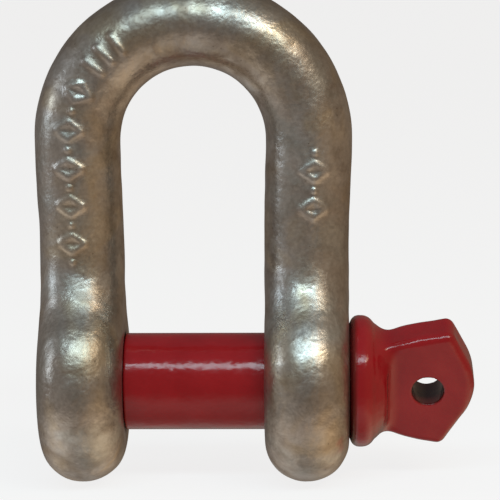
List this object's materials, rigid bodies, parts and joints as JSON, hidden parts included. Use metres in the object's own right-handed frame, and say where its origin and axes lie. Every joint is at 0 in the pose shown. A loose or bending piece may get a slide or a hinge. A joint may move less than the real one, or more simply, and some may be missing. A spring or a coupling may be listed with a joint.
{
  "type": "dee shackle",
  "caption": "Forged dee shackle: a round-bar bow with an ear at each end, closed by a screw pin with a collar and an eyed tab.",
  "frame": {"origin": "on the pin's axis in the middle of the jaw", "axes": "+X along the pin towards its collar and tab, +Z towards the crown of the bow, +Y square to the D"},
  "size_m": [0.0992, 0.046, 0.1144],
  "materials": {
    "zinc": "satin",
    "red_paint": "gloss"
  },
  "bodies": {
    "bow": {"bow": "zinc"},
    "pin_carrier": {"pin_tip": "red_paint"},
    "pin": {"screw_pin": "red_paint"}
  },
  "joints": [
    {"name": "pin_travel", "type": "slide", "parent": "bow", "child": "pin_carrier", "axis": [1, 0, 0], "range_m": [0, 0.07339]},
    {"name": "pin_turn", "type": "hinge", "parent": "pin_carrier", "child": "pin", "pos_m": [0, 0, 0], "axis": [1, 0, 0], "range_deg": [0, 9360]}
  ],
  "couplings": [
    {"joint": "pin_travel", "follows": "pin_turn", "m_per_rad": 0.00044917}
  ]
}
